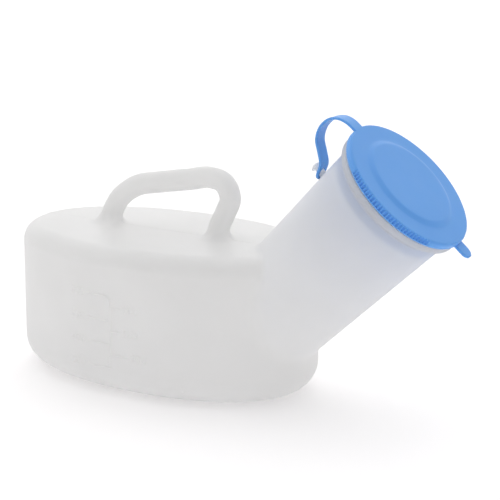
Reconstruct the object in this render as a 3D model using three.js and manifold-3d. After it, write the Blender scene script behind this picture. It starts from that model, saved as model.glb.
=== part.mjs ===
// Portable urinal bottle with a carrying handle and a tethered press-on lid.
// Millimetres, +Z up. The tank's long axis is X, the neck leans towards +X, and the
// origin is the middle of the flat base. The front wall, with the volume scale, faces -Y.

import * as THREE from 'three';
import { mergeVertices } from 'three/addons/utils/BufferGeometryUtils.js';
import Module from 'manifold-3d';

const wasm = await Module();
wasm.setup();

// ---------------------------------------------------------------- driving dimensions

const GAP = 0.3; // clearance between neighbouring solids
const WALL = 1.6; // thickness of the moulded bottle wall

const TANK_HALF_LENGTH = 91.5;
const TANK_HALF_WIDTH = 56.5;
const TANK_HEIGHT = 82;
const TANK_EXPONENT = 2.13; // 2 is an ellipse, more is squarer
const SHOULDER_RADIUS = 10.4; // rounding between side wall and deck
const FOOT_RADIUS = 16; // rounding between side wall and base
const TANK_SEGMENTS = 72;

const NECK_FOOT_X = 25.3; // where the neck's axis crosses the base plane
const NECK_LEAN = THREE.MathUtils.degToRad(45.4); // neck's axis above the horizontal
const NECK_RADIUS_AT_BASE = 28.5; // outer radius, carried down to the base plane
const NECK_TAPER = 0.0401; // growth of the radius per millimetre along the axis
const NECK_START = 55; // stations along the neck's axis, from the base plane
const NECK_END = 160;
const RIM_SHOULDER = 167;
const RIM_TOP = 171.8;
const MOUTH_TOP = 174;
const RIM_RADIUS = 38.2;
const MOUTH_OUTER_RADIUS = 36.2;
const BORE_RADIUS = 33.4;
const NECK_SEGMENTS = 64;

const LID_RADIUS = 39;
const LID_BOTTOM = 172.4;
const LID_TOP = 176.7;
const LID_THICKNESS = 1.8;
const SKIRT_THICKNESS = 1.8;
const PANEL_RADIUS = 27; // raised centre of the lid
const PANEL_RISE = 1.4;
const PLUG_TOP_RADIUS = 32.8;
const PLUG_BOTTOM_RADIUS = 31.5;
const PLUG_BOTTOM = 159;
const PLUG_THICKNESS = 1.3;
const LID_TWIST = THREE.MathUtils.degToRad(8.5); // how far the lid is turned on the mouth

const STRAP_WIDTH = 8.5;
const STRAP_THICKNESS = 1.4;
const STRAP_SKEW = -0.25; // sideways drift of the strap per millimetre of X
const TAB_REACH = 8.4;

const PEG_STATION = 140.6;
const PEG_RADIUS = 2;
const PEG_HEAD_RADIUS = 3.4;
const PEG_HEAD_START = 40.1; // distances from the neck's axis
const PEG_HEAD_END = 42.6;

const HANDLE_RADIUS = 6;
const HANDLE_WALL = 1.5;
const HANDLE_FOOT_RADIUS = 12.5;
const HANDLE_FOOT_HEIGHT = 5;
const FRONT_FOOT_X = -39.5;
const REAR_FOOT_X = 34.5;
const FRONT_SEAM_X = -22; // where the legs end and the grip begins
const REAR_SEAM_X = 25;

const SCALE_RELIEF = 0.4; // height of the raised volume marks
const SCALE_LINE_WIDTH = 1;
const SCALE_BOTTOM = 16.6; // lowest long mark, above the base
const SCALE_STEP = 13.2; // between long marks
const LONG_MARKS = 4;
const LONG_MARK_LENGTH = 14;
const SHORT_MARK_LENGTH = 6;

// ---------------------------------------------------------------- materials

function plastic(colour, roughness) {
  return new THREE.MeshStandardMaterial({ color: colour, roughness, metalness: 0 });
}

const milkyPlastic = plastic('#e6e6e8', 0.45);
const bluePlastic = plastic('#4f97dc', 0.4);

// ---------------------------------------------------------------- general helpers

/** Signed volume of an indexed triangle mesh. */
function signedVolume(geometry) {
  const position = geometry.attributes.position;
  const corner = [new THREE.Vector3(), new THREE.Vector3(), new THREE.Vector3()];
  let volume = 0;
  for (let i = 0; i < geometry.index.count; i += 3) {
    for (let k = 0; k < 3; k++) {
      corner[k].fromBufferAttribute(position, geometry.index.getX(i + k));
    }
    volume += corner[0].dot(corner[1].cross(corner[2])) / 6;
  }
  return volume;
}

/** The geometry with shared vertices merged and its faces pointing out. */
function closed(geometry) {
  const bare = geometry.clone();
  bare.deleteAttribute('normal');
  bare.deleteAttribute('uv');
  const merged = mergeVertices(bare, 1e-4);
  if (signedVolume(merged) < 0) {
    merged.index.array.reverse();
  }
  return merged;
}

function toManifold(geometry) {
  const shape = closed(geometry);
  const vertProperties = new Float32Array(shape.attributes.position.array);
  const triVerts = new Uint32Array(shape.index.array);
  return new wasm.Manifold(new wasm.Mesh({ numProp: 3, vertProperties, triVerts }));
}

function toGeometry(manifold) {
  const mesh = manifold.getMesh();
  const geometry = new THREE.BufferGeometry();
  geometry.setAttribute('position', new THREE.BufferAttribute(mesh.vertProperties, 3));
  geometry.setIndex(new THREE.BufferAttribute(mesh.triVerts, 1));
  return geometry;
}

function cut(geometry, ...tools) {
  let result = toManifold(geometry);
  for (const tool of tools) {
    result = result.subtract(toManifold(tool));
  }
  return toGeometry(result);
}

function join(first, ...others) {
  let result = toManifold(first);
  for (const other of others) {
    result = result.add(toManifold(other));
  }
  return toGeometry(result);
}

function named(name, geometry, material) {
  const mesh = new THREE.Mesh(closed(geometry), material);
  mesh.geometry.computeVertexNormals();
  mesh.name = name;
  return mesh;
}

/** A solid of revolution about Z from [radius, height] pairs. */
function turned(profile, segments = NECK_SEGMENTS) {
  const points = profile.map(([radius, height]) => new THREE.Vector2(radius, height));
  const geometry = new THREE.LatheGeometry(points, segments);
  return geometry.rotateX(Math.PI / 2);
}

/** A ring of revolution: the profile closes on itself. */
function turnedRing(profile, segments = NECK_SEGMENTS) {
  return turned([...profile, profile[0]], segments);
}

/** Points of a quarter circle, from angle `from` to angle `to` in degrees. */
function arc(centre, radius, from, to, steps) {
  const points = [];
  for (let i = 0; i <= steps; i++) {
    const angle = THREE.MathUtils.degToRad(from + ((to - from) * i) / steps);
    points.push([centre[0] + radius * Math.cos(angle), centre[1] + radius * Math.sin(angle)]);
  }
  return points;
}

function box(xRange, yRange, zRange) {
  const size = [xRange, yRange, zRange].map(([low, high]) => high - low);
  const middle = [xRange, yRange, zRange].map(([low, high]) => (high + low) / 2);
  return new THREE.BoxGeometry(...size).translate(...middle);
}

// ---------------------------------------------------------------- tank

/** A point of the tank's oval, moved inwards along its normal by `inset`. */
function ovalPoint(turn, inset) {
  const power = 2 / TANK_EXPONENT;
  const cosine = Math.cos(turn);
  const sine = Math.sin(turn);
  const x = TANK_HALF_LENGTH * Math.sign(cosine) * Math.abs(cosine) ** power;
  const y = TANK_HALF_WIDTH * Math.sign(sine) * Math.abs(sine) ** power;
  const slopeX = Math.sign(x) * Math.abs(x) ** (TANK_EXPONENT - 1) / TANK_HALF_LENGTH ** TANK_EXPONENT;
  const slopeY = Math.sign(y) * Math.abs(y) ** (TANK_EXPONENT - 1) / TANK_HALF_WIDTH ** TANK_EXPONENT;
  const length = Math.hypot(slopeX, slopeY);
  return [x - (inset * slopeX) / length, y - (inset * slopeY) / length];
}

/** Sweeps [inset, z] pairs round the oval; a ring closes on itself, a disc on the middle. */
function ovalSolid(profile, isRing) {
  const positions = [];
  for (const [inset, z] of profile) {
    for (let i = 0; i < TANK_SEGMENTS; i++) {
      positions.push(...ovalPoint((i / TANK_SEGMENTS) * 2 * Math.PI, inset), z);
    }
  }
  const indices = [];
  const rows = isRing ? profile.length : profile.length - 1;
  for (let row = 0; row < rows; row++) {
    const below = row * TANK_SEGMENTS;
    const above = ((row + 1) % profile.length) * TANK_SEGMENTS;
    for (let i = 0; i < TANK_SEGMENTS; i++) {
      const next = (i + 1) % TANK_SEGMENTS;
      indices.push(below + i, below + next, above + next);
      indices.push(below + i, above + next, above + i);
    }
  }
  if (!isRing) {
    const lowCentre = positions.length / 3;
    positions.push(0, 0, profile[0][1]);
    positions.push(0, 0, profile[profile.length - 1][1]);
    const top = (profile.length - 1) * TANK_SEGMENTS;
    for (let i = 0; i < TANK_SEGMENTS; i++) {
      const next = (i + 1) % TANK_SEGMENTS;
      indices.push(lowCentre, next, i);
      indices.push(lowCentre + 1, top + i, top + next);
    }
  }
  const geometry = new THREE.BufferGeometry();
  geometry.setAttribute('position', new THREE.Float32BufferAttribute(positions, 3));
  geometry.setIndex(indices);
  return closed(geometry);
}

/** [inset, z] pairs up the side of the tank, `skin` outside its surface, from base to deck. */
function sideProfile(skin) {
  const foot = arc([FOOT_RADIUS, FOOT_RADIUS], FOOT_RADIUS + skin, 270, 180, 4);
  const shoulderCentre = [SHOULDER_RADIUS, TANK_HEIGHT - SHOULDER_RADIUS];
  const shoulder = arc(shoulderCentre, SHOULDER_RADIUS + skin, 180, 90, 4);
  return [...foot, ...shoulder];
}

/** The tank's whole outer shape as a solid block, `skin` larger all round. */
function tankBlock(skin) {
  return ovalSolid(sideProfile(skin), false);
}

// ---------------------------------------------------------------- neck frame

/** Local +Z runs up the neck's axis from the base plane; local -X is its upper side. */
function neckFrame() {
  const frame = new THREE.Group();
  frame.position.set(NECK_FOOT_X, 0, 0);
  frame.rotation.y = Math.PI / 2 - NECK_LEAN;
  frame.updateMatrixWorld();
  return frame;
}

function fromNeckFrame(geometry) {
  return geometry.clone().applyMatrix4(neckFrame().matrixWorld);
}

function neckRadius(station) {
  return NECK_RADIUS_AT_BASE + NECK_TAPER * station;
}

/** The neck's bore as a solid plug, from inside the tank to past the mouth. */
function boreBlock() {
  const end = NECK_END + 5;
  return turned([
    [0, NECK_START],
    [neckRadius(NECK_START) - WALL, NECK_START],
    [neckRadius(end) - WALL, end],
    [0, end],
  ]);
}

// ---------------------------------------------------------------- bottle

function makeTank() {
  const bore = fromNeckFrame(boreBlock());
  const outside = sideProfile(0);
  const inside = sideProfile(-WALL).reverse();
  const wall = cut(ovalSolid([...outside, ...inside], true), bore);

  const deckInset = SHOULDER_RADIUS + GAP;
  const deckProfile = [
    [deckInset, TANK_HEIGHT - WALL],
    [deckInset, TANK_HEIGHT],
  ];
  const deck = cut(ovalSolid(deckProfile, false), bore);

  const floorInset = FOOT_RADIUS + GAP;
  const floorProfile = [
    [floorInset, 0],
    [floorInset, WALL],
  ];
  const floor = ovalSolid(floorProfile, false);

  return [
    named('tank_wall', wall, milkyPlastic),
    named('tank_deck', deck, milkyPlastic),
    named('tank_floor', floor, milkyPlastic),
  ];
}

function makeNeckTube() {
  const tube = turnedRing([
    [neckRadius(NECK_START), NECK_START],
    [neckRadius(NECK_END), NECK_END],
    [neckRadius(NECK_END) - WALL, NECK_END],
    [neckRadius(NECK_START) - WALL, NECK_START],
  ]);
  return named('neck_tube', cut(fromNeckFrame(tube), tankBlock(GAP)), milkyPlastic);
}

function makeMouthRim() {
  const start = NECK_END + GAP;
  const innerShoulder = RIM_SHOULDER - WALL;
  const profile = [
    [neckRadius(start), start],
    [neckRadius(start) + 1, start + 2.2],
    [RIM_RADIUS - 0.6, RIM_SHOULDER - 1.6],
    [RIM_RADIUS, RIM_SHOULDER],
    [RIM_RADIUS, RIM_TOP - 0.8],
    [RIM_RADIUS - 0.8, RIM_TOP],
    [MOUTH_OUTER_RADIUS, RIM_TOP],
    [MOUTH_OUTER_RADIUS, MOUTH_TOP - 0.5],
    [MOUTH_OUTER_RADIUS - 0.5, MOUTH_TOP],
    [BORE_RADIUS + 0.5, MOUTH_TOP],
    [BORE_RADIUS, MOUTH_TOP - 0.5],
    [BORE_RADIUS, RIM_TOP - WALL],
    [RIM_RADIUS - WALL, RIM_TOP - WALL],
    [RIM_RADIUS - WALL, innerShoulder + 1],
    [neckRadius(start) - WALL + 1, start + 2.2],
    [neckRadius(start) - WALL, start],
  ];
  return named('mouth_rim', turnedRing(profile), milkyPlastic);
}

/** The mushroom-shaped peg that the strap's eyelet sits on, on the neck's upper side. */
function makeTetherPeg() {
  const foot = neckRadius(PEG_STATION) + GAP;
  const profile = [
    [0, foot],
    [PEG_RADIUS + 0.8, foot],
    [PEG_RADIUS, foot + 0.9],
    [PEG_RADIUS, PEG_HEAD_START],
    [PEG_HEAD_RADIUS, PEG_HEAD_START],
    [PEG_HEAD_RADIUS, PEG_HEAD_START + 1.1],
    [PEG_HEAD_RADIUS - 1, PEG_HEAD_END - 0.3],
    [0, PEG_HEAD_END],
  ];
  const peg = turned(profile, 20).rotateY(-Math.PI / 2);
  return named('tether_peg', peg.translate(0, 0, PEG_STATION), milkyPlastic);
}

// The handle's centre line, from its front foot over the grip to its rear foot.
const handleLine = new THREE.CatmullRomCurve3(
  [
    [-42.5, 78],
    [-38.6, 88],
    [-32.6, 97.2],
    [-21, 105.2],
    [-4, 109.2],
    [14, 112.6],
    [28, 115.3],
    [37.4, 112.9],
    [41.2, 105],
    [38, 96.6],
    [34.2, 88.6],
    [32.2, 78],
  ].map(([x, z]) => new THREE.Vector3(x, 0, z)),
  false,
  'centripetal',
);

/** The whole handle as a tube, or as a solid bar where `hollow` is false. */
function handleTube(radius, hollow) {
  const section = new THREE.Shape().absarc(0, 0, radius, 0, 2 * Math.PI);
  if (hollow) {
    section.holes.push(new THREE.Path().absarc(0, 0, radius - HANDLE_WALL, 0, 2 * Math.PI, true));
  }
  return new THREE.ExtrudeGeometry(section, {
    steps: 32,
    curveSegments: 10,
    extrudePath: handleLine,
  });
}

/** The flared ring at a handle foot, cleared round the leg that stands in it. */
function handleFoot(x, leg) {
  const low = TANK_HEIGHT + GAP;
  const flare = arc(
    [HANDLE_FOOT_RADIUS, low + HANDLE_FOOT_HEIGHT],
    HANDLE_FOOT_HEIGHT - 0.6,
    270,
    180,
    4,
  );
  const profile = [[0, low], [HANDLE_FOOT_RADIUS, low], ...flare, [0, low + HANDLE_FOOT_HEIGHT]];
  return cut(turned(profile, 32).translate(x, 0, 0), leg);
}

function makeHandle() {
  const depth = [-20, 20];
  const belowDeck = box([-70, 70], depth, [60, TANK_HEIGHT + GAP]);
  const tube = handleTube(HANDLE_RADIUS, true);
  const room = handleTube(HANDLE_RADIUS + GAP, false);
  const upright = [60, 140];
  const frontLeg = cut(tube, belowDeck, box([FRONT_SEAM_X, 70], depth, upright));
  const rearLeg = cut(tube, belowDeck, box([-70, REAR_SEAM_X], depth, upright));
  const grip = cut(
    tube,
    box([-70, FRONT_SEAM_X + GAP], depth, upright),
    box([REAR_SEAM_X - GAP, 70], depth, upright),
  );
  return [
    named('handle_grip', grip, milkyPlastic),
    named('handle_front_leg', frontLeg, milkyPlastic),
    named('handle_rear_leg', rearLeg, milkyPlastic),
    named('handle_front_foot', handleFoot(FRONT_FOOT_X, room), milkyPlastic),
    named('handle_rear_foot', handleFoot(REAR_FOOT_X, room), milkyPlastic),
  ];
}

/** Raised marks on the front wall: an upright line, long marks left and short ones right. */
function makeVolumeScale() {
  const depth = [-TANK_HALF_WIDTH - 5, -TANK_HALF_WIDTH + 5];
  const half = SCALE_LINE_WIDTH / 2;
  const top = SCALE_BOTTOM + (LONG_MARKS - 1) * SCALE_STEP;
  const bars = [box([-half, half], depth, [SCALE_BOTTOM - half, top + half])];
  for (let i = 0; i < LONG_MARKS; i++) {
    const z = SCALE_BOTTOM + i * SCALE_STEP;
    bars.push(box([-LONG_MARK_LENGTH, 0], depth, [z - half, z + half]));
  }
  for (let i = 0; i < LONG_MARKS - 1; i++) {
    const z = SCALE_BOTTOM + (i + 0.5) * SCALE_STEP;
    bars.push(box([0, SHORT_MARK_LENGTH], depth, [z - half, z + half]));
  }
  const skin = toManifold(tankBlock(GAP + SCALE_RELIEF)).subtract(toManifold(tankBlock(GAP)));
  const marks = toManifold(join(...bars)).intersect(skin);
  return named('volume_scale', toGeometry(marks), milkyPlastic);
}

// ---------------------------------------------------------------- strap

// The strap's centre line in the XZ plane, from the lid's edge over the arch to its tip.
const strapLine = new THREE.CatmullRomCurve3(
  [
    [121.5, 152.7],
    [116.5, 155.3],
    [110.5, 156.6],
    [104, 155.1],
    [98.4, 150.2],
    [96.2, 143.6],
    [98, 136.8],
    [99.3, 131],
    [97.6, 126.2],
  ].map(([x, z]) => new THREE.Vector3(x, 0, z)),
  false,
  'centripetal',
);
const LID_BEND = 0.235; // where the two bends are, as fractions of the strap's line
const ARCH_BEND = 0.55;

/** A flat strip of strap between two fractions of its line. */
function strapStrip(from, to, steps) {
  const half = STRAP_THICKNESS / 2;
  const outer = [];
  const inner = [];
  for (let i = 0; i <= steps; i++) {
    const at = from + ((to - from) * i) / steps;
    const point = strapLine.getPointAt(at);
    const along = strapLine.getTangentAt(at);
    outer.push(new THREE.Vector2(point.x - along.z * half, point.z + along.x * half));
    inner.push(new THREE.Vector2(point.x + along.z * half, point.z - along.x * half));
  }
  const outline = new THREE.Shape([...outer, ...inner.reverse()]);
  const strip = new THREE.ExtrudeGeometry(outline, {
    depth: STRAP_WIDTH,
    bevelEnabled: false,
  });
  return strip.rotateX(Math.PI / 2).translate(0, STRAP_WIDTH / 2, 0);
}

/** Leans a strap piece sideways, so that it runs from the peg to its place on the lid. */
function skewed(geometry) {
  const pegX = strapLine.getPointAt(1).x;
  const shear = new THREE.Matrix4().makeShear(STRAP_SKEW, 0, 0, 0, 0, 0);
  return geometry.translate(-pegX, 0, 0).applyMatrix4(shear).translate(pegX, 0, 0);
}

function makeStrapLeg() {
  const halfGap = GAP / 2 / strapLine.getLength();
  const strip = strapStrip(ARCH_BEND + halfGap, 1, 14);
  const tip = strapLine.getPointAt(1);
  const along = strapLine.getTangentAt(1);
  const end = new THREE.CylinderGeometry(STRAP_WIDTH / 2, STRAP_WIDTH / 2, STRAP_THICKNESS, 24);
  end.rotateZ(Math.atan2(along.z, along.x));
  end.rotateX(Math.PI / 2);
  end.translate(tip.x, 0, tip.z);
  const hole = new THREE.CylinderGeometry(PEG_RADIUS + 0.5, PEG_RADIUS + 0.5, 12, 20);
  hole.rotateZ(Math.PI / 2);
  hole.translate(-neckRadius(PEG_STATION) - 4, 0, PEG_STATION);
  const leg = cut(join(strip, end), fromNeckFrame(hole));
  return named('strap_leg', skewed(leg), bluePlastic);
}

function makeStrapArch() {
  const halfGap = GAP / 2 / strapLine.getLength();
  const strip = strapStrip(LID_BEND + halfGap, ARCH_BEND - halfGap, 10);
  return named('strap_arch', skewed(strip), bluePlastic);
}

function makeStrapRoot() {
  const halfGap = GAP / 2 / strapLine.getLength();
  return named('strap_root', skewed(strapStrip(0, LID_BEND - halfGap, 6)), bluePlastic);
}

// ---------------------------------------------------------------- lid

function makeLidPanel() {
  const edge = LID_RADIUS - SKIRT_THICKNESS - GAP;
  const flange = LID_TOP - 0.6;
  const profile = [
    [0, flange - LID_THICKNESS + PANEL_RISE],
    [PANEL_RADIUS - 1, flange - LID_THICKNESS + PANEL_RISE],
    [PANEL_RADIUS + 2, flange - LID_THICKNESS],
    [edge, flange - LID_THICKNESS],
    [edge, flange - 0.1],
    [PANEL_RADIUS + 3, flange],
    [PANEL_RADIUS, flange + PANEL_RISE],
    [0, flange + PANEL_RISE],
  ];
  return named('lid_panel', turned(profile), bluePlastic);
}

function makeLidSkirt() {
  const inner = LID_RADIUS - SKIRT_THICKNESS;
  const profile = [
    [inner, LID_BOTTOM],
    [LID_RADIUS, LID_BOTTOM],
    [LID_RADIUS, LID_TOP - 1.6],
    [LID_RADIUS - 0.5, LID_TOP - 0.8],
    [inner, LID_TOP - 0.7],
  ];
  return named('lid_skirt', turnedRing(profile), bluePlastic);
}

function makeLidPlug() {
  const top = LID_TOP - 0.6 - LID_THICKNESS - GAP;
  const profile = [
    [PLUG_TOP_RADIUS - PLUG_THICKNESS, top],
    [PLUG_TOP_RADIUS, top],
    [PLUG_BOTTOM_RADIUS, PLUG_BOTTOM],
    [PLUG_BOTTOM_RADIUS - PLUG_THICKNESS, PLUG_BOTTOM],
  ];
  return named('lid_plug', turnedRing(profile), bluePlastic);
}

/** The tab, opposite the strap, that the lid is pulled off by. */
function makePullTab() {
  const half = STRAP_WIDTH / 2;
  const straight = TAB_REACH - half;
  const outline = new THREE.Shape();
  outline.moveTo(0, -half);
  outline.lineTo(straight, -half);
  outline.absarc(straight, 0, half, -Math.PI / 2, Math.PI / 2, false);
  outline.lineTo(0, half);
  const tab = new THREE.ExtrudeGeometry(outline, {
    depth: STRAP_THICKNESS,
    bevelEnabled: false,
    curveSegments: 10,
  });
  const mesh = named('pull_tab', tab, bluePlastic);
  mesh.position.set(LID_RADIUS + GAP + 0.2, 0, LID_BOTTOM + 0.3);
  return mesh;
}

// ---------------------------------------------------------------- assembly

const bottle = new THREE.Group();
bottle.add(...makeTank(), makeNeckTube(), ...makeHandle(), makeVolumeScale());

const mouth = neckFrame();
mouth.add(makeMouthRim(), makeTetherPeg());

const lid = neckFrame();
const tabMount = new THREE.Group();
tabMount.rotation.z = LID_TWIST;
tabMount.add(makePullTab());
lid.add(makeLidPanel(), makeLidSkirt(), makeLidPlug(), tabMount);

const strap = new THREE.Group();
strap.add(makeStrapLeg(), makeStrapArch(), makeStrapRoot());

const urinalBottle = new THREE.Group();
urinalBottle.add(bottle, mouth, lid, strap);

export default urinalBottle;
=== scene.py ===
"""Portable urinal bottle: a milky blow-moulded bottle and a blue lid tethered by a strap.

Shapes are worked out in millimetres in the CAD's frame and turned into metres as each
mesh is made. The bottle is one smooth skin: a distance field of the tank, neck and
handle, meshed outside and inside, joined to a turned neck and mouth.
"""

import math

import bmesh
import bpy
import numpy as np
from mathutils import Matrix, Vector


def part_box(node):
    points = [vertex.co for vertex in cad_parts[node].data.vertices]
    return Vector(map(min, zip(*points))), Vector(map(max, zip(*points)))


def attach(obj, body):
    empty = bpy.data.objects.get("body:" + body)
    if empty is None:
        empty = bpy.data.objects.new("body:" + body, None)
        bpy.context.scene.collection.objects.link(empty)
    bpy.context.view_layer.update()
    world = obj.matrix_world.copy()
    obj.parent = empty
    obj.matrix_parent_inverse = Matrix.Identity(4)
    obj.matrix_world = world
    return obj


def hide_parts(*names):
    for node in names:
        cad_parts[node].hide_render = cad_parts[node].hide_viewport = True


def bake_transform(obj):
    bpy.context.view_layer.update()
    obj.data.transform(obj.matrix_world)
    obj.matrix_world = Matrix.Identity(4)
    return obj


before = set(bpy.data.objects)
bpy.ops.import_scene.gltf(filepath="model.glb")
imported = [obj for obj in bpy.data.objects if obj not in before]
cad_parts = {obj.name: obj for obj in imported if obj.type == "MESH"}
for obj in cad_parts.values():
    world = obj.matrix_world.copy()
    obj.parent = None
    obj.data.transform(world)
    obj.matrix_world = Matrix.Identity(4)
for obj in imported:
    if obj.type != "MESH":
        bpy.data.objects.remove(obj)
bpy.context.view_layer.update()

MM = 0.001


# ------------------------------------------------------------------ sizes, in mm


def span(node):
    """The lowest and highest corner of a CAD node, in mm."""
    low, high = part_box(node)
    return np.array(low) / MM, np.array(high) / MM


tank_low, tank_high = span("tank_wall")
HALF_LENGTH = (tank_high[0] - tank_low[0]) / 2
HALF_WIDTH = (tank_high[1] - tank_low[1]) / 2
DECK = span("tank_deck")[1][2]
WALL = 1.6

OVAL_POWER = 2.13
SHOULDER = 10.4
FOOT = 16.0

NECK_BASE = np.array([25.3, 0.0, 0.0])
NECK_LEAN = math.radians(45.4)
NECK_AXIS = np.array([math.cos(NECK_LEAN), 0.0, math.sin(NECK_LEAN)])
NECK_UPPER = np.array([-math.sin(NECK_LEAN), 0.0, math.cos(NECK_LEAN)])
NECK_RADIUS = 28.5
NECK_TAPER = 0.0401
NECK_START = 55.0
NECK_CUT = 98.0  # below it the neck is part of the field, above it turned
NECK_END = 165.2
FLARE_LENGTH = 3.6
FLARE_RISE = 3.1
BORE_END = 167.0  # past it the inside of the mouth is the wall's lining

HANDLE_LINE = [
    (-42.5, 78),
    (-38.6, 88),
    (-32.6, 97.2),
    (-21, 105.2),
    (-4, 109.2),
    (14, 112.6),
    (28, 115.3),
    (37.4, 112.9),
    (41.2, 105),
    (38, 96.6),
    (34.2, 88.6),
    (32.2, 78),
]
HANDLE_RADIUS = 5.9

NECK_FILLET = 3.2
HANDLE_FILLET = 7.0
PARTING_HEIGHT = 0.16
PARTING_WIDTH = 0.35
PARTING_FADE = 4.0  # the parting line fades out over this height above the base

LID_TURN = math.radians(-8.5)  # the strap's place round the neck; the tab is opposite
LID_RADIUS = 39.0
LID_BOTTOM = 172.4
LID_TOP = 176.7
LID_EDGE = 1.3  # rounding of the top edge of the lid
LID_THICKNESS = 1.8
PANEL_RISE = 1.4  # of the raised middle above the flange

STRAP_LINE = [
    (121.5, 152.7),
    (116.5, 155.3),
    (110.5, 156.6),
    (104, 155.1),
    (98.4, 150.2),
    (96.2, 143.6),
    (98, 136.8),
    (99.3, 131),
    (97.6, 126.2),
]
STRAP_WIDTH = 8.5
STRAP_THICKNESS = 1.4
STRAP_SKEW = -0.25
STRAP_EDGE = 0.35  # rounding of the strap's edges
STRAP_SPLIT = 102.4  # in x, where the strap's two pieces meet
ARCH_LOW = 150  # in z, below it the strip is past the arch
EYELET_HOLE = 2.5

TAB_STATION = 173.3
TAB_START, TAB_END = 37.6, 47.9  # from the neck's axis
TAB_THICKNESS = 1.5
TAB_EDGE = 0.45

PEG_STATION = 140.6


def neck_radius(station):
    return NECK_RADIUS + NECK_TAPER * station


def neck_point(angle, radius, station):
    """A point round the neck's axis; angle 0 is the neck's upper side, 90 degrees is +Y."""
    angle, radius, station = np.broadcast_arrays(angle, radius, station)
    return (
        NECK_BASE
        + station[..., None] * NECK_AXIS
        + (radius * np.cos(angle))[..., None] * NECK_UPPER
        + (radius * np.sin(angle))[..., None] * np.array([0.0, 1.0, 0.0])
    )


# ------------------------------------------------------------------ curves


def curve_through(points, count):
    """A centripetal Catmull-Rom curve through the points, resampled to even steps."""
    pts = np.array(points, float)
    pts = np.vstack([2 * pts[0] - pts[1], pts, 2 * pts[-1] - pts[-2]])
    fine = []
    for p0, p1, p2, p3 in zip(pts, pts[1:], pts[2:], pts[3:]):
        t1 = np.linalg.norm(p1 - p0) ** 0.5
        t2 = t1 + np.linalg.norm(p2 - p1) ** 0.5
        t3 = t2 + np.linalg.norm(p3 - p2) ** 0.5
        t = np.linspace(t1, t2, 40, endpoint=False)[:, None]
        a1 = (t1 - t) / t1 * p0 + t / t1 * p1
        a2 = (t2 - t) / (t2 - t1) * p1 + (t - t1) / (t2 - t1) * p2
        a3 = (t3 - t) / (t3 - t2) * p2 + (t - t2) / (t3 - t2) * p3
        b1 = (t2 - t) / t2 * a1 + t / t2 * a2
        b2 = (t3 - t) / (t3 - t1) * a2 + (t - t1) / (t3 - t1) * a3
        fine.append((t2 - t) / (t2 - t1) * b1 + (t - t1) / (t2 - t1) * b2)
    fine = np.vstack([*fine, pts[-2:-1]])
    run = np.concatenate([[0], np.cumsum(np.linalg.norm(np.diff(fine, axis=0), axis=1))])
    at = np.linspace(0, run[-1], count)
    return np.stack([np.interp(at, run, fine[:, k]) for k in range(fine.shape[1])], 1)


def smooth(t):
    """An S curve from 0 to 1."""
    return 3 * t * t - 2 * t**3


def circle_arc(centre, radius, start, end, steps):
    """[radius, station] pairs of an arc, from angle start to angle end in degrees."""
    angle = np.radians(np.linspace(start, end, steps))
    return np.stack(
        [centre[0] + radius * np.cos(angle), centre[1] + radius * np.sin(angle)], 1
    )


# ------------------------------------------------------------------ volume marks


# Strokes of the numerals in a box 1 high and 0.6 wide, as points to run a curve through.
NUMERALS = {
    "0": [[(0.3, 1), (0.08, 0.82), (0, 0.5), (0.08, 0.18), (0.3, 0), (0.52, 0.18), (0.6, 0.5),
           (0.52, 0.82), (0.3, 1)]],
    "2": [[(0.03, 0.78), (0.12, 0.95), (0.3, 1), (0.5, 0.93), (0.57, 0.74), (0.45, 0.5),
           (0.2, 0.24), (0.02, 0.02)], [(0.02, 0.02), (0.6, 0.02)]],
    "3": [[(0.04, 0.86), (0.18, 0.98), (0.4, 0.98), (0.55, 0.84), (0.5, 0.62), (0.26, 0.53)],
          [(0.26, 0.53), (0.5, 0.46), (0.58, 0.26), (0.44, 0.05), (0.2, 0), (0.02, 0.14)]],
    "4": [[(0.44, 0), (0.44, 1)], [(0.44, 1), (0.0, 0.3)], [(0.0, 0.3), (0.6, 0.3)]],
    "5": [[(0.54, 1), (0.1, 1)], [(0.1, 1), (0.05, 0.55)],
          [(0.05, 0.55), (0.3, 0.63), (0.54, 0.5), (0.58, 0.28), (0.45, 0.06), (0.2, 0),
           (0.02, 0.12)]],
    "6": [[(0.52, 0.92), (0.3, 1), (0.08, 0.78), (0, 0.42), (0.08, 0.12), (0.3, 0),
           (0.53, 0.12), (0.58, 0.34), (0.44, 0.55), (0.24, 0.56), (0.05, 0.4)]],
    "7": [[(0.02, 1), (0.6, 1)], [(0.6, 1), (0.38, 0.5), (0.24, 0)]],
    "8": [[(0.3, 1), (0.1, 0.9), (0.08, 0.7), (0.3, 0.53), (0.56, 0.32), (0.52, 0.08), (0.3, 0),
           (0.08, 0.08), (0.04, 0.32), (0.3, 0.53), (0.52, 0.7), (0.5, 0.9), (0.3, 1)]],
}
MARK_BOTTOM = 16.6
MARK_STEP = 13.2
LONG_LENGTH = 14.5
MARK_WIDTH = 0.45
MARK_RELIEF = 0.36
NUMERAL_WIDTH = 0.3
NUMERAL_RELIEF = 0.22
NUMERAL_HEIGHT = 3.9
NUMERAL_ADVANCE = 3.35
GATE = (42.9, 8.5)  # the small pit low on the wall, in x and z
GATE_WIDTH = 0.5
GATE_RELIEF = -0.3


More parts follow.
